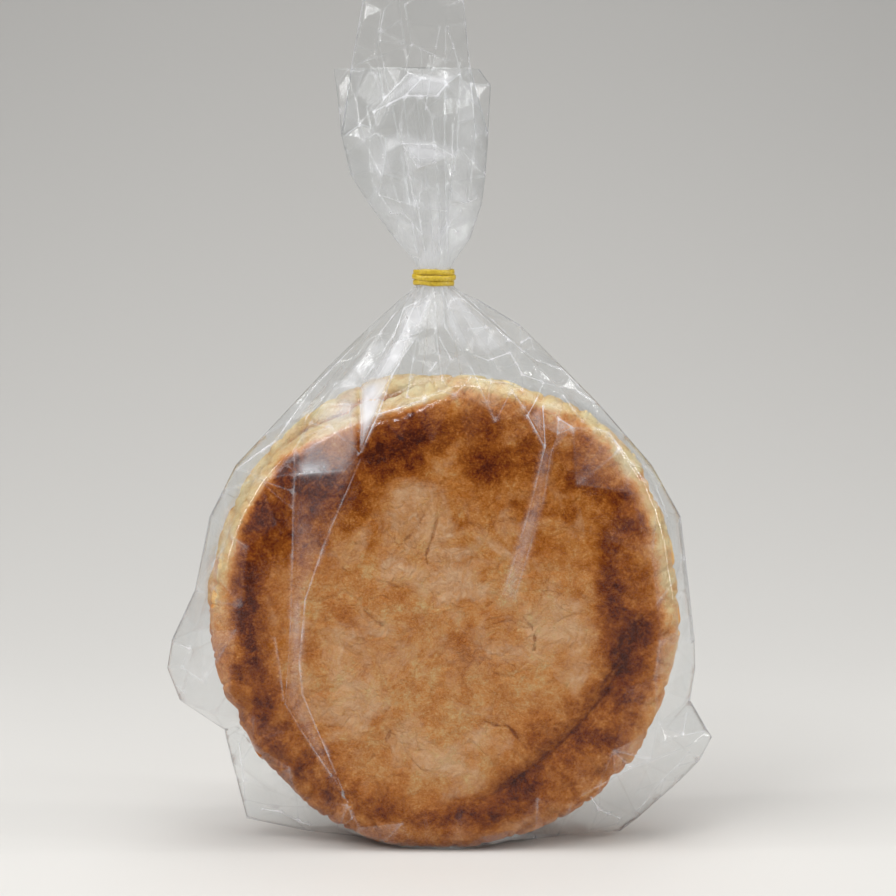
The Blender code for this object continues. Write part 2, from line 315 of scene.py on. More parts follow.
MOUTH_VEILS_AND_GLINTS = (
    (0.20, ((373, 112), (405, 96), (422, 79), (409, 73))),
    (0.30, ((409, 73), (460, 74), (447, 92), (437, 98), (405, 96))),
    (0.36, ((402, 144), (435, 145), (455, 157), (418, 168))),
    (0.16, ((398, 130), (462, 150), (462, 200), (440, 266), (415, 266), (400, 190))),
    (0.12, ((455, 78), (489, 84), (484, 200), (457, 250), (442, 262), (455, 180))),
    (0.16, ((345, 135), (360, 124), (385, 138), (402, 130), (402, 150), (382, 192), (365, 160))),
    (0.16, ((376, 200), (420, 207), (426, 250), (412, 262), (391, 236))),
)

# How far in the edge of a patch of doubled film fades, and how sharply the white along a fold falls off,
# which is partly the folded film's own whitening and partly painted glint
VEIL_AND_GLINT_EDGE = 1.8
CREASE_POWER = 5.0

# Pleats run from the band down to this height
BAND_HEIGHT = 161.1
GATHER_END = 118.0

# Bumps of a bread are held under the film's clearance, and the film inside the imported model
HIGHEST_BUMP = 0.55
FILM_CLEARANCE = 0.75
FILM_REACH = 18.15

# Facets of the film: how often each is cut, and the gaps between points along a fold, along
# the edge of a lip and along the foot
FACET_CUTS = 5
FOLD_GAP = 7.0
LIP_GAP = 2.2
FOOT_GAP = 3.5
# White of the seams at the sides and of the lips' top edges: partly the folded film's own whitening, partly
# painted glint
SEAM_WHITE = 0.55
LIP_WHITE = 0.03

# Loose corners of facets: least gap from a fold, as a share of the facets' size, margins inside
# the outline, and how much calmer they are over a bread
LOOSE_GAP = 0.38
SIDE_MARGIN, END_MARGIN = 1.5, 1.0
CALM = 0.85

# A fold reaches its full lift where the film stands this far from the middle plane
FULL_LIFT = 4.0

# Weld distance of the film's seams
WELD = 0.005

# Narrow lamps that only show as glints in the film: place, size, power
GLINT_LAMPS = (
    ((-0.62, -0.10, 0.35), (0.04, 0.50), 1.1),
    ((-0.45, -0.75, 0.75), (0.30, 0.04), 0.7),
    ((0.80, -0.25, 0.60), (0.04, 0.35), 1.0),
    ((0.62, -0.05, 0.25), (0.04, 0.50), 1.1),
    ((0.00, -0.35, 0.95), (0.40, 0.05), 1.0),
    ((-0.16, -0.95, 0.46), (0.04, 0.18), 0.4),
)

# Band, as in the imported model
BAND_TURNS = 3
TURN_WIDTH = 1.6
STRAND_WIDTH = 1.52
STRAND_THICKNESS = 1.1
BAND_STEPS = 270
STRAND_SIDES = 12
STRAND_CORNER = 0.6
CROSSING_START = 0.86

# Depths of the finest relief, in metres
WRINKLE_DEPTH = 0.0040
CRUMB_DEPTH = 0.0010
GRAIN_DEPTH = 0.0003
RIPPLE_DEPTH = 0.0003
RUBBER_DEPTH = 0.0001

# The paper sweep, in metres
SWEEP_START, SWEEP_RADIUS, SWEEP_STEPS = 0.25, 1.3, 24
SWEEP_HALF_WIDTH = 2.0


def srgb(red, green, blue):
    """Return a screen colour, 0 to 255 for each channel, as a linear colour."""
    linear = []
    for value in (red, green, blue):
        share = value / 255.0
        linear.append(share / 12.92 if share <= 0.04045 else ((share + 0.055) / 1.055) ** 2.4)
    return (*linear, 1.0)


def blend(low, high, value):
    """Return 0 below low, 1 above high and a smooth step between them."""
    share = min(1.0, max(0.0, (value - low) / (high - low)))
    return share * share * (3.0 - 2.0 * share)


def smooth(low, high, values):
    """The same as blend, for an array."""
    share = np.clip((values - low) / (high - low), 0.0, 1.0)
    return share * share * (3.0 - 2.0 * share)


def bell(values, middle, width):
    """Return 1 where an array of values is at the middle, falling smoothly to 0 on both sides."""
    return np.exp(-(((values - middle) / width) ** 2))


def along(rows, height):
    """Read a table of rows, each led by its height, at any height between its ends."""
    for lower, upper in zip(rows, rows[1:]):
        if height <= upper[0]:
            share = max(0.0, (height - lower[0]) / (upper[0] - lower[0]))
            return [a + (b - a) * share for a, b in zip(lower[1:], upper[1:])]
    return list(rows[-1][1:])


def in_photo(px, py, y):
    """Return the X and Z of a pixel's line of sight where it crosses the plane of one Y."""
    tilt = math.radians(CAMERA_TILT)
    forward = Vector((0.0, math.cos(tilt), -math.sin(tilt)))
    up = Vector((0.0, math.sin(tilt), math.cos(tilt)))
    half = PHOTO_SIDE / 2.0
    ray = forward * FOCAL_PIXELS + Vector((px - half, 0.0, 0.0)) + up * (half - py)
    place = CAMERA_PLACE + ray * ((y - CAMERA_PLACE.y) / ray.y)
    return place.x, place.z


def points_of(mesh):
    """Return a mesh's points as rows of X, Y and Z."""
    flat = np.empty(len(mesh.vertices) * 3)
    mesh.vertices.foreach_get("co", flat)
    return flat.reshape(-1, 3)


def normals_of(mesh):
    """Return the normal at each of a mesh's points."""
    flat = np.empty(len(mesh.vertices) * 3, dtype=np.float32)
    mesh.vertex_normals.foreach_get("vector", flat)
    return flat.reshape(-1, 3)


def move_points(mesh, points):
    """Give a mesh's points new places."""
    mesh.vertices.foreach_set("co", points.astype(np.float32).ravel())
    mesh.update()


def noise_at(points, size, shift=0.0):
    """Return smooth noise, about -1 to 1, at each point, for bumps of the given size."""
    return np.array([noise.noise(Vector(p)) for p in (points / size + shift).tolist()])


def fractal_at(points, size, octaves):
    """Return noise of several sizes at each point, the largest of the given size."""
    scaled = (points / size).tolist()
    return np.array([noise.fractal(Vector(p), 0.9, 2.1, octaves) for p in scaled])


def paint(mesh, key, values, domain="POINT"):
    """Store a number at each point or face for the material to read."""
    layer = mesh.attributes.new(key, "FLOAT", domain)
    layer.data.foreach_set("value", np.asarray(values, dtype=np.float32))


def finished_mesh(name, bm):
    """Turn all faces outwards and make a mesh of the working one."""
    bmesh.ops.recalc_face_normals(bm, faces=bm.faces)
    mesh = bpy.data.meshes.new(name)
    bm.to_mesh(mesh)
    bm.free()
    return mesh


def finish_piece(name, mesh, material, replaced=None):
    """Bring a mesh into the model's frame as a piece that rides on the body."""
    move_points(mesh, (points_of(mesh) + np.array(SHIFT)) * MM)
    mesh.shade_smooth()
    piece = bpy.data.objects.new(name, mesh)
    bpy.context.collection.objects.link(piece)
    piece.data.materials.append(material)
    if replaced:
        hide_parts(replaced)
    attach(piece, BODY)
    return piece


# Breads


def bread_centre(bread):
    """Return the middle of a bread."""
    height = BREAD_RADIUS * bread["grow"] - BREAD_SINK
    return Vector((bread["x"], bread["y"], height))


def rim_radii(angles, bread):
    """Return the rim's radius at each angle before its pinches: not quite round."""
    ring = np.linspace(-math.pi, math.pi, 721)
    table = []
    for angle in ring:
        way = Vector((math.cos(angle), math.sin(angle), bread["seed"]))
        radius = BREAD_RADIUS * bread["grow"] + noise.noise(way * 1.3) * 0.8 + noise.noise(way * 7.0) * 0.45
        for turn, width, rise in bread["rim"]:
            away = (math.degrees(angle) - turn + 180.0) % 360.0 - 180.0
            radius += rise * math.exp(-((away / width) ** 2))
        table.append(radius)
    return np.interp(angles, ring, table)


def face_form(share):
    """Return a bread's half thickness, as a share of it, at each share of its radius."""
    turn = np.clip((share - RIM_START) / (1.0 - RIM_START), 0.0, 1.0)
    rim = RIM_TOP * (1.0 - turn ** RIM_CURVE) ** (1.0 / RIM_CURVE)
    ring = RIM_TOP + RING_RISE * bell(share, RING_PLACE, RING_WIDTH)
    middle = MIDDLE_TOP - MIDDLE_FALL * share
    face = middle + (ring - middle) * smooth(*MIDDLE_EDGE, share)
    return np.where(share > RIM_START, rim, face)


def bread_reach(x, z, bread):
    """Return how far a bread's outer face stands from the middle plane, or 0 beside it."""
    centre = bread_centre(bread)
    dx = x - centre.x
    dz = z - centre.z
    share = np.hypot(dx, dz) / rim_radii(np.arctan2(dz, dx), bread)
    lean = math.tan(math.radians(bread["lean"])) * dz
    reach = np.abs(bread["y"] + lean) + BREAD_THICKNESS / 2.0 * face_form(share)
    return np.where(share < 1.0, reach, 0.0)


def placed_patches(table, bread):
    """Return patches given in pixels as rows of place, half sizes, turn and strength."""
    face_y = bread["y"] - BREAD_THICKNESS / 2.0
    scale = (face_y - CAMERA_PLACE.y) / FOCAL_PIXELS
    rows = []
    for px, py, wide, high, turn, strength in table:
        x, z = in_photo(px, py, face_y)
        rows.append((x, z, wide * scale, high * scale, math.radians(turn), strength))
    return rows


def drawn_patches(bread):
    """Return browned patches for the bread that the photograph hardly shows, by a seeded rule."""
    draw = random.Random(7)
    centre = bread_centre(bread)
    rows = []
    for index in range(34):
        angle = 2.0 * math.pi * index / 34.0 + draw.uniform(-0.1, 0.1)
        radius = BREAD_RADIUS * draw.uniform(0.66, 0.92)
        place = (centre.x + radius * math.cos(angle), centre.z + radius * math.sin(angle))
        size = (draw.uniform(2.8, 5.0), draw.uniform(5.0, 9.0))
        rows.append((*place, *size, angle, draw.uniform(0.25, 0.8)))
    for index in range(12):
        place = [draw.gauss(0.0, 22.0) + centre.x, draw.gauss(0.0, 22.0) + centre.z]
        rows.append((*place, 4.0, 3.0, draw.uniform(0.0, 3.0), draw.uniform(0.08, 0.3)))
    return rows


def patch_field(x, z, rows):
    """Return how strongly patches cover each point: a full middle and a wide, faint edge."""
    field = np.zeros(len(x))
    for cx, cz, wide, high, turn, strength in rows:
        across = (x - cx) * math.cos(turn) - (z - cz) * math.sin(turn)
        upward = (x - cx) * math.sin(turn) + (z - cz) * math.cos(turn)
        spread = (across / wide) ** 2 + (upward / high) ** 2
        field += strength * (0.46 * np.exp(-(spread ** 1.4)) + 0.17 * np.exp(-spread / 2.6))
    return field


def toast_field(points, shares, bread):
    """Return how browned each point is, 0 for raw dough to 1 for scorched, and how floury."""
    warp_x = noise_at(points, 9.0, 3.0) * 3.0 + noise_at(points, 3.4, 9.0) * 1.1
    warp_z = noise_at(points, 9.0, 17.0) * 3.0 + noise_at(points, 3.4, 31.0) * 1.1
    x = points[:, 0] + warp_x
    z = points[:, 2] + warp_z
    centre = bread_centre(bread)
    angle = np.degrees(np.arctan2(points[:, 2] - centre.z, points[:, 0] - centre.x)) % 360.0
    shares = shares + warp_x * 0.006
    ring = 0.17 * bell(shares, 0.84, 0.10)
    ring *= 1.0 - 0.75 * bell(angle, 62.0, 42.0)
    front = bread is FRONT_BREAD
    patches = placed_patches(FRONT_TOAST, bread) if front else drawn_patches(bread)
    field = FACE_TOAST + ring + patch_field(x, z, patches)
    field = field + fractal_at(points, 5.0, 5) * (0.08 + 0.30 * np.clip(field - 0.32, 0.0, 0.5))
    angle = (angle + warp_z * 2.0) % 360.0
    start = FADE_START
    end = FADE_END
    for turn, width, inner, outer in RIM_FADES:
        near = bell(angle, turn, width)
        start = start + inner * near
        end = end + outer * near
    fade = smooth(start, end, shares)
    rim = np.interp(angle, *np.array(RIM_TOAST).T) + fractal_at(points, 6.0, 4) * 0.12
    toast = np.clip(field * (1.0 - fade) + rim * fade, 0.0, 1.0)
    flour = patch_field(x, z, placed_patches(FRONT_FLOUR, bread)) if front else np.zeros(len(x))
    return toast, flour


def crack_field(points, lines, width):
    """Return how close each point is to the nearest of several lines, 1 on a line."""
    depth = np.zeros(len(points))
    place = points[:, [0, 2]]
    wiggle = noise_at(points, 2.2) * 0.7
    for line in lines:
        for index, (start, end) in enumerate(zip(line, line[1:])):
            first = np.array(start)
            way = np.array(end) - first
            share = np.clip(((place - first) @ way) / (way @ way), 0.0, 1.0)
            away = np.hypot(*(place - first - share[:, None] * way).T)
            ends = 1.0 if 0 < index < len(line) - 2 else 0.75
            depth = np.maximum(depth, ends * bell(away + wiggle, 0.0, width))
    return depth


def bread_profile(bread):
    """Return the turned profile, pole to pole: share of the radius and share of the depth."""
    outer = bread["side"]
    rows = [(i / FACE_RINGS * RIM_START, outer) for i in range(FACE_RINGS)]
    for i in range(RIM_RINGS + 1):
        turn = math.pi * i / RIM_RINGS
        share = RIM_START + (1.0 - RIM_START) * math.sin(turn)
        rows.append((share, outer * math.cos(turn)))
    rows += [(i / INNER_RINGS * RIM_START, -outer) for i in reversed(range(INNER_RINGS))]
    return rows


def turned_mesh(name, bread):
    """Turn a bread's profile about its axis, one unit in radius, point by point in a fixed order."""
    bm = bmesh.new()
    parts = RING_CUTS + 1
    count = BREAD_STEPS * parts
    corners = [2.0 * math.pi * i / BREAD_STEPS for i in range(BREAD_STEPS + 1)]
    ways = [
        Vector((math.cos(start), 0.0, math.sin(start))).lerp((math.cos(end), 0.0, math.sin(end)), i / parts)
        for start, end in zip(corners, corners[1:])
        for i in range(parts)
    ]
    rings = []
    for share, depth in bread_profile(bread):
        if share == 0.0:
            rings.append([bm.verts.new((0.0, depth, 0.0))] * count)
        else:
            rings.append([bm.verts.new((way.x * share, depth, way.z * share)) for way in ways])
    for ring, following in zip(rings, rings[1:]):
        for i in range(count):
            after = (i + 1) % count
            facet = (ring[i], ring[after], following[after], following[i])
            bm.faces.new(tuple(dict.fromkeys(facet)))
    return finished_mesh(name, bm)


def rim_pinches(points, rim):
    """Return how far the pinched rim stands out, and where its pinches are."""
    stretched = points * np.array((1.0, 0.5, 1.0))
    pinch = noise_at(stretched, 8.5, 5.0) * 0.7 - 0.25
    deep = bell(noise_at(stretched, 9.0, 29.0), 0.0, 0.08)
    small = bell(noise_at(stretched, 5.0, 53.0), 0.0, 0.09)
    pinch = (pinch - 0.85 * deep - 0.5 * small + noise_at(stretched, 3.6, 41.0) * 0.25) * rim
    return pinch, deep + small


def make_bread(name, bread, material):
    """Turn a bread, then pinch its rim, raise its middle, cut its cracks and brown it, with painted shade
    along its step and in its pinches.
    """
    mesh = turned_mesh(name, bread)
    turned = points_of(mesh)
    centre = bread_centre(bread)
    half = BREAD_THICKNESS / 2.0
    part = np.hypot(turned[:, 0], turned[:, 2])
    angle = np.arctan2(turned[:, 2], turned[:, 0])
    swing = np.arcsin(np.clip((part - RIM_START) / (1.0 - RIM_START), 0.0, 1.0))
    on_rim = part > RIM_START + 0.0001
    rounded = RIM_START + (1.0 - RIM_START) * np.sin(swing) ** (2.0 / RIM_CURVE)
    share = np.where(on_rim, rounded, part)
    deep = np.where(on_rim, RIM_TOP * np.abs(np.cos(swing)) ** (2.0 / RIM_CURVE), face_form(part))
    radius = rim_radii(angle, bread) * share
    x = radius * np.cos(angle)
    z = radius * np.sin(angle)
    lean = math.tan(math.radians(bread["lean"])) * z
    y = np.sign(turned[:, 1]) * deep * half + lean
    points = np.stack((centre.x + x, centre.y + y, centre.z + z), axis=1)
    move_points(mesh, points)
    toast, flour = toast_field(points, share, bread)
    cracks = np.zeros(len(points))
    fall = np.zeros(len(points))
    if bread is FRONT_BREAD:
        face_y = bread["y"] - half
        on_face = (points[:, 1] < centre.y) & (share < 0.93)
        lines = [[in_photo(px, py, face_y) for px, py in line] for line in FRONT_CRACKS]
        step = [[in_photo(px, py, face_y) for px, py in STEP_LINE]]
        cracks[on_face] = crack_field(points[on_face], lines + step, CRACK_WIDTH)
        fall[on_face] = crack_field(points[on_face], step, STEP_WIDTH)
    # Painted shade: the dough is browned more along the step, where it falls away from the light
    toast = np.clip(toast + 0.20 * fall, 0.0, 1.0)
    rim = smooth(0.84, 0.93, share)
    pinch, pinched = rim_pinches(points, rim)
    # Painted shade: the dough is browned a little in the deep notches of the pinched rim
    toast = np.clip(toast + 0.05 * pinched * rim, 0.0, 1.0)
    height = noise_at(points, 19.0) * 0.5 * (1.0 - rim * 0.5) + fractal_at(points, 4.2, 3) * 0.17
    height -= 0.32 * bell(noise_at(points, 8.0, 61.0), 0.0, 0.07) * (1.0 - rim)
    height += np.abs(noise_at(points, 1.7)) * 0.16 * smooth(0.45, 0.9, toast)
    height += pinch - cracks * CRACK_DEPTH - fall * STEP_DEPTH
    height = np.where(height > 0.0, HIGHEST_BUMP * np.tanh(height / HIGHEST_BUMP), height)
    points = points + normals_of(mesh) * height[:, None]
    points[:, 2] = np.maximum(points[:, 2], BREAD_REST)
    move_points(mesh, points)
    paint(mesh, "toast", toast)
    # Mask of the cracks and the step line, which the material darkens as painted shade
    paint(mesh, "crack_shade", cracks)
    paint(mesh, "flour", flour)
    finish_piece(name, mesh, material)


# Film


def table_at(rows, heights):
    """Read every column of a table of rows at many heights."""
    keys = [row[0] for row in rows]
    return [np.interp(heights, keys, [row[i] for row in rows]) for i in range(1, len(rows[0]))]


def pouch_form(x, z):
    """Return how far the film round the breads stands from the middle plane."""
    left, right, depth = table_at(POUCH_OUTLINE, z)
    half = (right - left) / 2.0
    aside = np.abs(x - (left + right) / 2.0)
    rise = z - BREAD_RADIUS + BREAD_SINK
    chord = np.sqrt(np.maximum(0.0, (BREAD_RADIUS * 0.93) ** 2 - rise ** 2))
    taut = depth * np.clip((half - aside) / np.maximum(2.0, half - chord), 0.0, 1.0)
    tied = depth * np.sqrt(np.clip(1.0 - (aside / half) ** 2, 0.0, 1.0))
    gathered = smooth(GATHER_END, 155.0, z)
    return taut + (tied - taut) * gathered


def mouth_form(rows):
    """Return the function that gives how far one lip of the mouth stands from the middle."""

    def form(x, z):
        left, right, depth = table_at(rows, z)
        aside = np.abs(x - (left + right) / 2.0) / ((right - left) / 2.0)
        return depth * np.sqrt(np.clip(1.0 - aside ** 2, 0.0, 1.0))

    return form


def split_line(places, gap):
    """Add even points to a line so that no two neighbours are further apart than a gap."""
    line = [places[0]]
    for start, end in zip(places, places[1:]):
        count = max(1, math.ceil(math.dist(start, end) / gap))
        for i in range(1, count + 1):
            share = i / count
            line.append(tuple(a + (b - a) * share for a, b in zip(start, end)))
    return line


def pixels_on(pixels, rows, form, side):
    """Return the X and Z of pixels on one side of the film, kept inside its outline."""
    places = []
    for px, py in pixels:
        y = side * 8.0
        for _ in range(3):
            x, z = in_photo(px, py, y)
            z = min(max(z, rows[0][0] + 0.6), rows[-1][0] - 0.3)
            left, right, _ = along(rows, z)
            x = min(max(x, left + 0.5), right - 0.5)
            y = side * float(form(np.array([x]), np.array([z]))[0])
        places.append((x, z))
    return places


def on_face(place):
    """Return 1 over the flat faces of the breads and 0 beside them."""
    away = math.dist(place, (FRONT_BREAD["x"], BREAD_RADIUS - BREAD_SINK))
    return 1.0 - blend(BREAD_RADIUS * 0.86, BREAD_RADIUS * 0.97, away)


def veil_and_glint_field(x, z, veils_and_glints, rows, form):
    """Return how whitish doubled film is at each point, partly its own whitening and partly painted
    highlight, fading in from its edges.
    """
    milk = np.zeros(len(x))
    for strength, pixels in veils_and_glints:
        corners = pixels_on(pixels, rows, form, -1.0)
        within = np.zeros(len(x), dtype=bool)
        away = np.full(len(x), VEIL_AND_GLINT_EDGE)
        for (ax, az), (bx, bz) in zip(corners, corners[1:] + corners[:1]):
            wide, rise = (bx - ax, bz - az)
            within ^= ((az > z) != (bz > z)) & (x < wide * (z - az) / (rise or 1.0) + ax)
            share = np.clip(((x - ax) * wide + (z - az) * rise) / (wide ** 2 + rise ** 2), 0.0, 1.0)
            away = np.minimum(away, np.hypot(x - ax - share * wide, z - az - share * rise))
        milk += np.where(within, strength * away / VEIL_AND_GLINT_EDGE, 0.0)
    return milk


def mark_veils_and_glints(bm, veils_and_glints, rows, form):
    """Mark the points of the front sheet that lie where the film is doubled, with its painted highlight."""
    layer = bm.verts.layers.float["veil_and_glint"]
    places = np.array([vert.co for vert in bm.verts])
    milk = veil_and_glint_field(places[:, 0], places[:, 2], veils_and_glints, rows, form)
    for vert, value in zip(bm.verts, milk):
        vert[layer] = value if vert.co.y < 0.0 else 0.0


def fan_lines(rows, near, far, count, draw):
    """Return pleats that spread from the tied neck: lift, whiteness and places of each."""
    lines = []
    start = along(rows, near)
    end = along(rows, far)
    for i in range(count):
        share = (i + 0.5 + draw.uniform(-0.15, 0.15)) / count
        lift = draw.uniform(0.5, 1.1) if i % 2 else -draw.uniform(0.3, 0.7)
        reach = draw.uniform(0.55, 1.0)
        middle = near + (far - near) * reach
        first = start[0] + (start[1] - start[0]) * share
        last = first + (end[0] + (end[1] - end[0]) * share - first) * reach
        bend = (first + last) / 2.0 + draw.uniform(-1.5, 1.5) * reach
        places = [(first, near), (bend, (near + middle) / 2.0), (last, middle)]
        # The whiteness of a pleat is partly the folded film's own whitening and partly painted glint
        lines.append((lift, draw.uniform(0.2, 0.6), places))
    return lines


def sheet_outline(rows, gap):
    """Return the points round a sheet, the white of its edges and which points are seams."""
    heights = [rows[0][0]]
    for lower, upper in zip(rows, rows[1:]):
        count = max(1, math.ceil((upper[0] - lower[0]) / gap))
        heights += [lower[0] + (upper[0] - lower[0]) * (i + 1) / count for i in range(count)]
    left = [(along(rows, z)[0], z) for z in heights]
    right = [(along(rows, z)[1], z) for z in reversed(heights)]
    top = split_line([left[-1], right[0]], LIP_GAP)[1:-1]
    bottom = split_line([right[-1], left[0]], FOOT_GAP)[1:-1]
    places = left + top + right + bottom
    whites = [SEAM_WHITE] * len(places)
    for index in range(len(left) - 1, len(left) + len(top)):
        whites[index] = LIP_WHITE
    seams = set(range(len(left))) | set(range(len(left) + len(top), len(places) - len(bottom)))
    return places, whites, seams


def loose_points(rows, held, gap, rough, draw):
    """Return places and lifts of facets' corners in uneven rows, clear of the held points."""
    places = []
    lifts = []
    z = rows[0][0] + gap / 2.0
    while z < rows[-1][0]:
        low, high, _ = along(rows, z)
        x = low + gap * draw.uniform(0.3, 0.9)
        while x < high:
            place = (x, z + draw.uniform(-0.4, 0.4) * gap)
            low_here, high_here, _ = along(rows, place[1])
            clear = np.hypot(*(held - np.array(place)).T).min() > gap * LOOSE_GAP
            clear = clear and low_here + SIDE_MARGIN < x < high_here - SIDE_MARGIN
            if clear and rows[0][0] + END_MARGIN < place[1] < rows[-1][0] - END_MARGIN:
                places.append(place)
                lifts.append(draw.uniform(-rough, rough) * (1.0 - CALM * on_face(place)))
            x += gap * draw.uniform(0.7, 1.3)
        z += gap
    return places, lifts


def fold_sheet(bm, rows, form, side, folds, gap, rough, seed, gather):
    """Fold one sheet of film into flat facets and add it to a mesh."""
    draw = random.Random(seed)
    white_layer = bm.edges.layers.float["white"]
    haze_and_glint_layer = bm.faces.layers.float["haze_and_glint"]
    places, whites, seams = sheet_outline(rows, gap)
    rim = len(places)
    lifts = [0.0] * rim
    pairs = [(i, (i + 1) % rim) for i in range(rim)]
    lines = [(lift, white, pixels_on(pixels, rows, form, side)) for lift, white, pixels in folds]
    lines += gather(draw)
    for lift, white, line in lines:
        line = split_line(line, FOLD_GAP)
        for index, place in enumerate(line):
            fade = 0.35 if index in (0, len(line) - 1) else 1.0
            places.append(place)
            lifts.append(lift * fade * draw.uniform(0.75, 1.25))
            if index:
                pairs.append((len(places) - 2, len(places) - 1))
                whites.append(white * draw.uniform(0.4, 1.0))
    loose, loose_lifts = loose_points(rows, np.array(places), gap, rough, draw)
    places += loose
    lifts += loose_lifts
    vectors = [Vector(place) for place in places]
    outline = list(range(rim))
    flat, edges, faces, from_verts, from_edges, _ = delaunay_2d_cdt(vectors, pairs, [outline], 1, 0.02)
    known = np.array(places)
    made = []
    for place, sources in zip(flat, from_verts):
        source = sources[0] if sources else int(np.hypot(*(known - np.array(place)).T).argmin())
        depth = float(form(np.array([place[0]]), np.array([place[1]]))[0])
        lift = 0.0 if sources and source in seams else lifts[source]
        edge_share = min(1.0, depth / FULL_LIFT)
        made.append(bm.verts.new((place[0], side * max(0.0, depth + lift * edge_share), place[1])))
    facets = []
    for corners in faces:
        order = corners if side < 0.0 else corners[::-1]
        facet = bm.faces.new([made[i] for i in order])
        middle = facet.calc_center_median()
        bare = 1.0 - on_face((middle.x, middle.z))
        # Faint whitening of each facet off the breads, and more near the band where the pleats gather:
        # partly the film's own cloudiness, partly a painted highlight of facets that catch the light
        haze_and_glint = (0.02 + draw.random() ** 3 * 0.06) * bare
        haze_and_glint += 0.22 * math.exp(-abs(middle.z - BAND_HEIGHT) / 9.0)
        facet[haze_and_glint_layer] = haze_and_glint
        facets.append(facet)
    # White of each edge: a fold's listed whiteness, or a faint random white off the breads; partly the
    # film's own whitening, partly painted glint
    for (first, last), sources in zip(edges, from_edges):
        edge = bm.edges.get((made[first], made[last]))
        named = [whites[source] for source in sources if source < len(pairs)]
        if edge:
            place = (made[first].co + made[last].co) / 2.0
            bare = 1.0 - on_face((place.x, place.z))
            edge[white_layer] = max(named) if named else draw.random() ** 3 * 0.20 * bare
    ring = {edge for facet in facets for edge in facet.edges}
    bmesh.ops.subdivide_edges(bm, edges=list(ring), cuts=FACET_CUTS, use_grid_fill=True)


def start_film():
    """Start a film mesh with the layers that its facets and folds are marked on."""
    bm = bmesh.new()
    bm.edges.layers.float.new("white")
    bm.faces.layers.float.new("haze_and_glint")
    bm.verts.layers.float.new("crease_white_and_glint")
    bm.verts.layers.float.new("veil_and_glint")
    return bm


def mark_creases(bm):
    """Mark the points that lie on a fold with how white that fold is: partly the film's own whitening and
    partly a painted glint.
    """
    white = bm.edges.layers.float["white"]
    crease_white_and_glint = bm.verts.layers.float["crease_white_and_glint"]
    for vert in bm.verts:
        vert[crease_white_and_glint] = max((edge[white] for edge in vert.link_edges), default=0.0) ** (1.0 / CREASE_POWER)


def finish_film(name, bm, material, thickness, replaced=None):
    """Close a film mesh's seams, make it a piece and give it its thickness."""
    bmesh.ops.remove_doubles(bm, verts=bm.verts, dist=WELD)
    mark_creases(bm)
    mesh = finished_mesh(name, bm)
    piece = finish_piece(name, mesh, material, replaced)
    solid = piece.modifiers.new("thickness", "SOLIDIFY")
    solid.thickness = thickness
    solid.offset = 0.0


def low_edge(edge):
    """Tell whether an edge lies along the foot of the film."""
    return max(vert.co.z for vert in edge.verts) < POUCH_OUTLINE[0][0] + 0.01


def make_pouch(material, thickness):
    """Make the film round the breads: two folded sheets, joined at the sides and below."""
    bm = start_film()
    for side, folds, seed in ((-1.0, POUCH_FOLDS, 5), (1.0, (), 23)):
        count = 7 if side < 0.0 else 11

        def gather(draw):
            return fan_lines(POUCH_OUTLINE, POUCH_OUTLINE[-1][0], GATHER_END, count, draw)

        fold_sheet(bm, POUCH_OUTLINE, pouch_form, side, folds, 11.0, 0.45, seed, gather)
    bmesh.ops.remove_doubles(bm, verts=bm.verts, dist=WELD)
    foot = [edge for edge in bm.edges if edge.is_boundary and low_edge(edge)]
    bmesh.ops.contextual_create(bm, geom=foot)
    places = np.array([vert.co for vert in bm.verts])
    x, y, z = places.T
    depth = np.abs(y)
    wave = noise_at(places, 5.0) * 0.10 * np.minimum(1.0, depth / 6.0)
    reach = np.where(y < 0.0, bread_reach(x, z, FRONT_BREAD), bread_reach(x, z, BACK_BREAD))
    held = np.maximum(depth + wave, np.where(reach > 0.0, reach + FILM_CLEARANCE, 0.0))
    held = np.copysign(np.minimum(held, FILM_REACH), y)
    for vert, old, new in zip(bm.verts, depth, held):
        if old > 0.05:
            vert.co.y = new
    mark_veils_and_glints(bm, POUCH_VEILS_AND_GLINTS, POUCH_OUTLINE, pouch_form)
    finish_film("film_pouch", bm, material, thickness, "bag")


def make_mouth(material, thickness):
    """Make the loose film above the band: a lower front lip and a higher rear one."""
    bm = start_film()
    lips = ((-1.0, FRONT_LIP, FRONT_MOUTH_FOLDS, 31, 7), (1.0, REAR_LIP, REAR_MOUTH_FOLDS, 37, 9))
    for side, rows, folds, seed, count in lips:

        def gather(draw):
            return fan_lines(rows, rows[0][0], rows[-1][0] - 6.0, count, draw)

        fold_sheet(bm, rows, mouth_form(rows), side, folds, 9.0, 1.1, seed, gather)
    mark_veils_and_glints(bm, MOUTH_VEILS_AND_GLINTS, FRONT_LIP, mouth_form(FRONT_LIP))
    finish_film("film_mouth", bm, material, thickness)


# Band


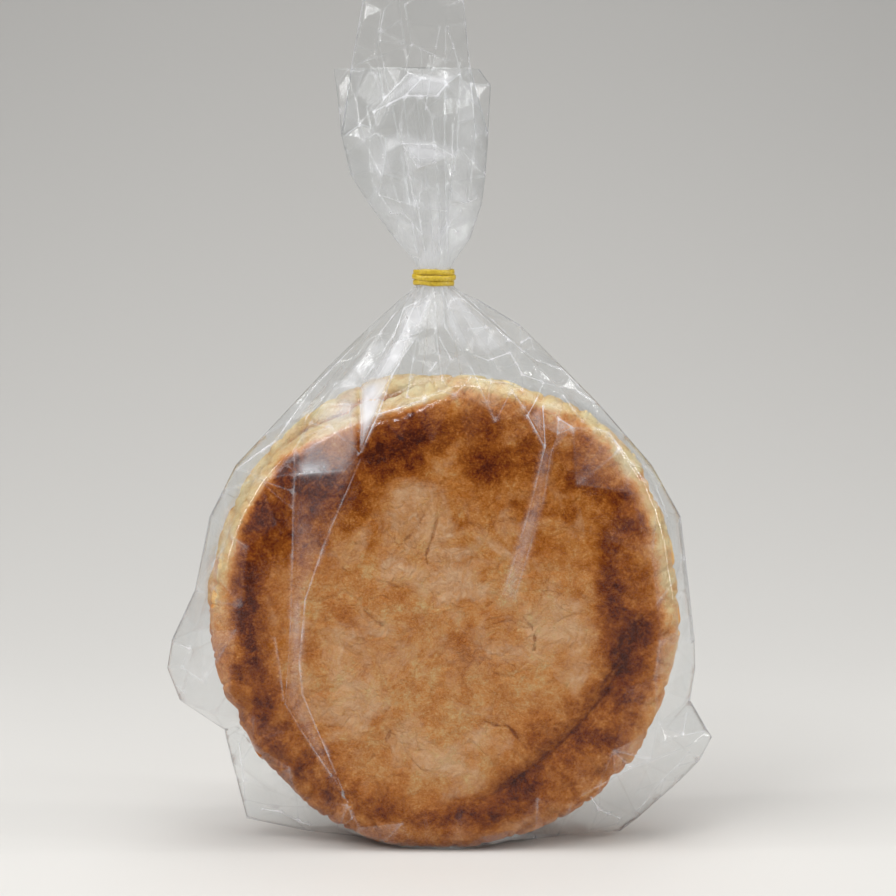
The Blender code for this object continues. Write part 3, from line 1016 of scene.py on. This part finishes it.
def make_band(material):
    """Wind one closed strand three times round the neck, crossing over behind."""
    bm = bmesh.new()
    centre_z = (BAND_LOW.z + BAND_HIGH.z) / 2.0
    outer = (BAND_HIGH.x - BAND_LOW.x) / 2.0
    rings = []
    for step in range(BAND_STEPS):
        turn = BAND_TURNS * step / BAND_STEPS
        whole = math.floor(turn)
        part = turn - whole
        angle = 2.0 * math.pi * part + math.pi / 2.0
        cross = blend(CROSSING_START, 1.0, part)
        back = whole == BAND_TURNS - 1
        level = whole + (-(BAND_TURNS - 1) * cross if back else cross)
        bulge = STRAND_THICKNESS * math.sin(math.pi * blend(0.80, 1.0, part)) if back else 0.0
        way = Vector((math.cos(angle), math.sin(angle), 0.0))
        wave = noise.noise(way * 1.1 + Vector((0.0, 0.0, turn * 0.8))) * 0.42
        radius = outer - STRAND_THICKNESS / 2.0 + bulge - 0.12 + wave * 0.35
        z = centre_z + (level - (BAND_TURNS - 1) / 2.0) * TURN_WIDTH * 0.93 + wave * 0.9
        if whole == 1:
            z += 0.45 * math.sin(angle - 0.5)
            radius += 0.28
        ring = []
        for i in range(STRAND_SIDES):
            swing = 2.0 * math.pi * i / STRAND_SIDES
            across = math.copysign(abs(math.cos(swing)) ** STRAND_CORNER, math.cos(swing))
            upward = math.copysign(abs(math.sin(swing)) ** STRAND_CORNER, math.sin(swing))
            reach = radius + across * STRAND_THICKNESS / 2.0
            rise = z + upward * STRAND_WIDTH / 2.0
            ring.append(bm.verts.new((NECK_X + reach * math.cos(angle), reach * math.sin(angle), rise)))
        rings.append(ring)
    for ring, following in zip(rings, rings[1:] + rings[:1]):
        for i in range(STRAND_SIDES):
            after = (i + 1) % STRAND_SIDES
            bm.faces.new((ring[i], ring[after], following[after], following[i]))
    finish_piece("rubber_band", finished_mesh("rubber_band", bm), material, "band")


# Materials


def new_material(name):
    """Start a node material and return it with its Principled shader."""
    material = bpy.data.materials.new(name)
    material.use_nodes = True
    return material, material.node_tree.nodes["Principled BSDF"]


def add_node(material, kind, **values):
    """Add a node and set its own values and its input values by name or number."""
    node = material.node_tree.nodes.new(kind)
    for key, value in values.items():
        if key.startswith("input_"):
            node.inputs[int(key[6:])].default_value = value
        else:
            setattr(node, key, value)
    return node


def calc(material, operation, *values, clamp=False):
    """Add a Math node on sockets and numbers and return its output."""
    node = add_node(material, "ShaderNodeMath", operation=operation, use_clamp=clamp)
    for socket, value in zip(node.inputs, values):
        if isinstance(value, bpy.types.NodeSocket):
            material.node_tree.links.new(value, socket)
        else:
            socket.default_value = value
    return node.outputs[0]


def mottle(material, scale, detail, rough, distortion=0.0, stretch=(1.0, 1.0, 1.0)):
    """Add a Noise texture on Object coordinates and return its value."""
    link = material.node_tree.links.new
    place = add_node(material, "ShaderNodeTexCoord")
    shape = add_node(material, "ShaderNodeMapping", input_3=stretch)
    cloud = add_node(material, "ShaderNodeTexNoise", input_2=scale, input_3=detail, input_4=rough)
    cloud.inputs["Distortion"].default_value = distortion
    link(place.outputs["Object"], shape.inputs["Vector"])
    link(shape.outputs["Vector"], cloud.inputs["Vector"])
    return cloud.outputs["Fac"]


def read_mask(material, name):
    """Read a number that is stored on the mesh."""
    return add_node(material, "ShaderNodeAttribute", attribute_name=name).outputs["Fac"]


def color_ramp(material, value, stops):
    """Turn a value into a colour by a row of stops."""
    ramp = add_node(material, "ShaderNodeValToRGB")
    elements = ramp.color_ramp.elements
    elements[0].position, elements[0].color = stops[0]
    elements[1].position, elements[1].color = stops[-1]
    for position, color in stops[1:-1]:
        elements.new(position).color = color
    material.node_tree.links.new(value, ramp.inputs["Fac"])
    return ramp.outputs["Color"]


def relief(material, height, distance, strength, under=None):
    """Add a Bump node of a depth in metres and return its normal."""
    bump = add_node(material, "ShaderNodeBump")
    bump.inputs["Strength"].default_value = strength
    bump.inputs["Distance"].default_value = distance
    material.node_tree.links.new(height, bump.inputs["Height"])
    if under:
        material.node_tree.links.new(under, bump.inputs["Normal"])
    return bump.outputs["Normal"]


def fissures(material):
    """Return a mask of fine, broken cracks in the dry dough."""
    link = material.node_tree.links.new
    place = add_node(material, "ShaderNodeTexCoord")
    drift = add_node(material, "ShaderNodeTexNoise", input_2=300.0, input_3=4.0, input_4=0.6)
    link(place.outputs["Object"], drift.inputs["Vector"])
    offset = add_node(material, "ShaderNodeVectorMath", operation="SCALE", input_3=0.007)
    link(drift.outputs["Color"], offset.inputs[0])
    moved = add_node(material, "ShaderNodeVectorMath", operation="ADD")
    link(place.outputs["Object"], moved.inputs[0])
    link(offset.outputs[0], moved.inputs[1])
    cells = add_node(material, "ShaderNodeTexVoronoi", feature="DISTANCE_TO_EDGE", input_2=105.0)
    link(moved.outputs[0], cells.inputs["Vector"])
    line = calc(material, "MULTIPLY_ADD", cells.outputs["Distance"], -30.0, 1.0, clamp=True)
    patch = calc(material, "MULTIPLY_ADD", mottle(material, 60.0, 3.0, 0.6), 7.0, -3.6, clamp=True)
    return calc(material, "MULTIPLY", line, patch)


def bread_material(browning):
    """Griddled dough: raw cream, gold, brown and scorched, mottled at several sizes, with painted shade in
    its cracks and wrinkle hollows.
    """
    material, shader = new_material("griddled_bread")
    link = material.node_tree.links.new
    cloud = partial(mottle, material)
    fit = partial(calc, material, "MULTIPLY_ADD")
    times = partial(calc, material, "MULTIPLY")
    minus = partial(calc, material, "SUBTRACT")
    toast = times(read_mask(material, "toast"), browning)
    fine = cloud(1500.0, 4.0, 0.7)
    soft = cloud(430.0, 6.0, 0.62, distortion=0.7)
    broad = cloud(95.0, 4.0, 0.6, distortion=0.4)
    thread = cloud(620.0, 3.0, 0.6, distortion=1.6, stretch=(1.0, 1.0, 1.7))
    ridge = calc(material, "ABSOLUTE", minus(thread, 0.5))
    fleck = minus(1.0, times(ridge, 16.0), clamp=True)
    level = fit(minus(soft, 0.5), fit(toast, 1.35, -0.02), toast)
    level = fit(minus(fine, 0.5), fit(toast, 0.70, 0.10), level)
    level = fit(minus(broad, 0.5), 0.34, level)
    level = calc(material, "ADD", level, times(fleck, times(toast, -0.30)))
    color = color_ramp(material, level, (
        (0.00, srgb(222, 204, 158)),
        (0.12, srgb(212, 178, 124)),
        (0.26, srgb(204, 138, 74)),
        (0.40, srgb(182, 108, 40)),
        (0.52, srgb(156, 85, 20)),
        (0.66, srgb(134, 64, 10)),
        (0.82, srgb(107, 42, 5)),
        (1.00, srgb(72, 22, 3)),
    ))
    bare = fit(toast, -6.0, 3.1, clamp=True)
    dusty = fit(cloud(62.0, 6.0, 0.68, 0.9), 6.0, -3.1)
    dusty = fit(read_mask(material, "flour"), 1.5, dusty, clamp=True)
    dusty = times(times(dusty, bare), fit(soft, 2.6, -0.75, clamp=True))
    flour = add_node(material, "ShaderNodeMix", data_type="RGBA", input_7=srgb(220, 178, 138))
    link(dusty, flour.inputs[0])
    link(color, flour.inputs[6])
    wrinkle = calc(material, "ABSOLUTE", minus(cloud(150.0, 5.0, 0.6, 0.8), 0.5))
    # Painted shade in the hollows of the wrinkles, on browned dough only
    hollow_shade = times(fit(wrinkle, -7.0, 0.17, clamp=True), fit(toast, 6.0, -0.9, clamp=True))
    # Painted shade along the cracks marked on the mesh and in the fine fissures
    crack_shade = times(fit(soft, -0.8, read_mask(material, "crack_shade")), 1.7, clamp=True)
    crack_shade = calc(material, "MAXIMUM", crack_shade, times(fissures(material), 0.6))
    crack_shade = calc(material, "MAXIMUM", crack_shade, hollow_shade)
    # Painted shade: the dough is darkened by a brown multiply in cracks, fissures and wrinkle hollows
    painted_shade = add_node(
        material, "ShaderNodeMix", data_type="RGBA", blend_type="MULTIPLY", input_7=(0.50, 0.33, 0.22, 1.0)
    )
    link(crack_shade, painted_shade.inputs[0])
    link(flour.outputs[2], painted_shade.inputs[6])
    link(painted_shade.outputs[2], shader.inputs["Base Color"])
    link(fit(level, -0.22, 0.70), shader.inputs["Roughness"])
    shader.inputs["Specular IOR Level"].default_value = 0.07
    wrinkle = fit(crack_shade, -0.10, wrinkle)
    creased = relief(material, wrinkle, WRINKLE_DEPTH, 0.65)
    grainy = relief(material, soft, CRUMB_DEPTH, 0.6, creased)
    link(relief(material, fine, GRAIN_DEPTH, 0.5, grainy), shader.inputs["Normal"])
    return material


def film_material(whiteness):
    """Clear film: see-through, mirror-like at its surface, whitish where doubled or creased, with painted
    glints and highlights in that white.
    """
    material, veil_and_glint = new_material("clear_film")
    tree = material.node_tree
    link = tree.links.new
    # A white diffuse layer that paints the film's own whitening together with painted glints and highlights
    veil_and_glint.inputs["Base Color"].default_value = (0.86, 0.86, 0.89, 1.0)
    veil_and_glint.inputs["Roughness"].default_value = 0.3
    ripple = relief(material, mottle(material, 240.0, 3.0, 0.5), RIPPLE_DEPTH, 0.35)
    clear = add_node(material, "ShaderNodeBsdfTransparent", input_0=(0.965, 0.97, 0.97, 1.0))
    gloss = add_node(material, "ShaderNodeBsdfGlossy", input_0=(1.0, 1.0, 1.0, 1.0), input_1=0.10)
    link(ripple, gloss.inputs["Normal"])
    facing = add_node(material, "ShaderNodeLayerWeight", input_0=0.5)
    link(ripple, facing.inputs["Normal"])
    steep = calc(material, "POWER", facing.outputs["Facing"], 5.0)
    surface = add_node(material, "ShaderNodeMixShader")
    link(calc(material, "MULTIPLY_ADD", steep, 0.988, 0.012), surface.inputs[0])
    link(clear.outputs[0], surface.inputs[1])
    link(gloss.outputs[0], surface.inputs[2])
    # Painted glint along the folds, broken up by noise, together with the film's own whitening there
    line = calc(material, "POWER", read_mask(material, "crease_white_and_glint"), CREASE_POWER)
    broken = calc(material, "MULTIPLY_ADD", mottle(material, 160.0, 3.0, 0.6), 3.0, -0.75, clamp=True)
    line = calc(material, "MULTIPLY", line, broken)
    cloud = calc(material, "MULTIPLY_ADD", mottle(material, 70.0, 2.0, 0.5), 1.8, -0.3, clamp=True)
    haze_and_glint = calc(material, "ADD", read_mask(material, "haze_and_glint"), read_mask(material, "veil_and_glint"))
    haze_and_glint = calc(material, "MULTIPLY", haze_and_glint, cloud)
    # Mix in the white layer where folds, doubled film and facets are marked: partly whitening of the film,
    # partly painted glint and highlight
    milk_and_glint = calc(material, "MULTIPLY_ADD", line, whiteness, haze_and_glint, clamp=True)
    whole = add_node(material, "ShaderNodeMixShader")
    link(milk_and_glint, whole.inputs[0])
    link(surface.outputs[0], whole.inputs[1])
    link(veil_and_glint.outputs[0], whole.inputs[2])
    link(whole.outputs[0], tree.nodes["Material Output"].inputs["Surface"])
    return material


def rubber_material():
    """Worn yellow rubber: satin, a little dusty, its colour and relief finely mottled."""
    material, shader = new_material("yellow_rubber")
    link = material.node_tree.links.new
    grain = mottle(material, 1400.0, 4.0, 0.6)
    color = color_ramp(material, grain, ((0.3, srgb(174, 142, 16)), (0.75, srgb(216, 188, 54))))
    link(color, shader.inputs["Base Color"])
    shader.inputs["Roughness"].default_value = 0.42
    link(relief(material, grain, RUBBER_DEPTH, 0.3), shader.inputs["Normal"])
    return material


def floor_material():
    """Pale matt paper that sweeps up behind the pack."""
    material, shader = new_material("pale_paper")
    shader.inputs["Base Color"].default_value = srgb(208, 206, 202)
    shader.inputs["Roughness"].default_value = 0.85
    return material


# Stage


def make_sweep():
    """Make the floor and the backdrop that it curves up into."""
    bm = bmesh.new()
    profile = [(-0.6, 0.0), (SWEEP_START, 0.0)]
    for i in range(1, SWEEP_STEPS + 1):
        angle = math.pi / 2.0 * i / SWEEP_STEPS
        rise = SWEEP_RADIUS - SWEEP_RADIUS * math.cos(angle)
        profile.append((SWEEP_START + SWEEP_RADIUS * math.sin(angle), rise))
    profile.append((SWEEP_START + SWEEP_RADIUS, 2.0 * SWEEP_RADIUS))
    left = [bm.verts.new((-SWEEP_HALF_WIDTH, y, z)) for y, z in profile]
    right = [bm.verts.new((SWEEP_HALF_WIDTH, y, z)) for y, z in profile]
    for i in range(len(profile) - 1):
        bm.faces.new((left[i], right[i], right[i + 1], left[i + 1]))
    mesh = finished_mesh("sweep", bm)
    mesh.shade_smooth()
    sweep = bpy.data.objects.new("sweep", mesh)
    bpy.context.collection.objects.link(sweep)
    sweep.data.materials.append(floor_material())


def make_lamp(name, place, size, power):
    """Hang a soft lamp that shines on the middle of the pack."""
    light = bpy.data.lights.new(name, "AREA")
    light.shape = "RECTANGLE"
    light.size, light.size_y = size
    light.energy = power
    lamp = bpy.data.objects.new(name, light)
    lamp.location = place
    aim = Vector((0.0, 0.0, 0.10)) - Vector(place)
    lamp.rotation_euler = aim.to_track_quat("-Z", "Y").to_euler()
    bpy.context.collection.objects.link(lamp)


def make_camera():
    """Set the camera where the photograph was taken from."""
    camera = bpy.data.cameras.new("camera")
    camera.sensor_width = 36.0
    camera.lens = 36.0 * FOCAL_PIXELS / PHOTO_SIDE
    camera.clip_start = 0.01
    viewer = bpy.data.objects.new("camera", camera)
    viewer.location = (CAMERA_PLACE + SHIFT) * MM
    viewer.rotation_euler = (math.radians(90.0 - CAMERA_TILT), 0.0, 0.0)
    bpy.context.collection.objects.link(viewer)
    bpy.context.scene.camera = viewer


# Add-on


class GORDITA_PG_settings(bpy.types.PropertyGroup):
    """Settings of the bag of gorditas"""

    browning: bpy.props.FloatProperty(
        name="Browning", description="How strongly the faces are browned",
        default=1.0, min=0.0, max=1.5, subtype="FACTOR",
    )
    film_thickness: bpy.props.FloatProperty(
        name="Film thickness", description="Thickness of the film",
        default=0.00009, min=0.00002, max=0.0003, precision=5, unit="LENGTH", subtype="DISTANCE",
    )
    # Whiteness of the folds: the film's own whitening together with the painted glints along them
    whiteness: bpy.props.FloatProperty(
        name="Crease whiteness", description="How white the film turns where it is creased",
        default=0.8, min=0.0, max=1.0, subtype="FACTOR",
    )
    key_power: bpy.props.FloatProperty(
        name="Key lamp", description="Power of the main lamp",
        default=11.0, min=0.0, max=100.0, unit="POWER",
    )


class GORDITA_OT_breads(bpy.types.Operator):
    """Make both breads"""

    bl_idname = "gordita.breads"
    bl_label = "Breads"

    def execute(self, context):
        material = bread_material(context.scene.gordita.browning)
        make_bread("gordita_front", FRONT_BREAD, material)
        make_bread("gordita_back", BACK_BREAD, material)
        return {"FINISHED"}


class GORDITA_OT_film(bpy.types.Operator):
    """Make the film round the breads and above the band"""

    bl_idname = "gordita.film"
    bl_label = "Film"

    def execute(self, context):
        settings = context.scene.gordita
        material = film_material(settings.whiteness)
        make_pouch(material, settings.film_thickness)
        make_mouth(material, settings.film_thickness)
        return {"FINISHED"}


class GORDITA_OT_band(bpy.types.Operator):
    """Make the rubber band round the neck"""

    bl_idname = "gordita.band"
    bl_label = "Rubber Band"

    def execute(self, context):
        make_band(rubber_material())
        return {"FINISHED"}


class GORDITA_OT_stage(bpy.types.Operator):
    """Set the floor, the lamps and the camera"""

    bl_idname = "gordita.stage"
    bl_label = "Stage"

    def execute(self, context):
        make_sweep()
        world = bpy.data.worlds.new("studio")
        context.scene.world = world
        world.use_nodes = True
        background = world.node_tree.nodes["Background"]
        background.inputs["Color"].default_value = (0.82, 0.84, 0.88, 1.0)
        background.inputs["Strength"].default_value = 0.12
        make_lamp("key", (-0.72, -0.66, 1.05), (0.90, 0.90), context.scene.gordita.key_power)
        make_lamp("fill", (0.95, -0.90, 0.35), (1.20, 1.20), 5.0)
        make_lamp("top", (0.10, 0.02, 1.20), (1.10, 0.80), 7.5)
        for index, (place, size, power) in enumerate(GLINT_LAMPS):
            make_lamp("glint_%d" % index, place, size, power)
        make_camera()
        context.scene.view_settings.view_transform = "Standard"
        context.scene.cycles.transparent_max_bounces = 32
        return {"FINISHED"}


class GORDITA_PT_panel(bpy.types.Panel):
    """Panel that lists the pieces"""

    bl_idname = "GORDITA_PT_panel"
    bl_label = "Bagged Gorditas"
    bl_space_type = "VIEW_3D"
    bl_region_type = "UI"
    bl_category = "Gorditas"

    def draw(self, context):
        settings = context.scene.gordita
        for key in ("browning", "film_thickness", "whiteness", "key_power"):
            self.layout.prop(settings, key)
        for name in ("breads", "film", "band", "stage"):
            self.layout.operator("gordita." + name)


CLASSES = (
    GORDITA_PG_settings,
    GORDITA_OT_breads,
    GORDITA_OT_film,
    GORDITA_OT_band,
    GORDITA_OT_stage,
    GORDITA_PT_panel,
)


def register():
    for cls in CLASSES:
        bpy.utils.register_class(cls)
    bpy.types.Scene.gordita = bpy.props.PointerProperty(type=GORDITA_PG_settings)


def unregister():
    del bpy.types.Scene.gordita
    for cls in reversed(CLASSES):
        bpy.utils.unregister_class(cls)


def main():
    register()
    bpy.ops.gordita.breads()
    bpy.ops.gordita.film()
    bpy.ops.gordita.band()
    bpy.ops.gordita.stage()


if __name__ == "__main__":
    main()
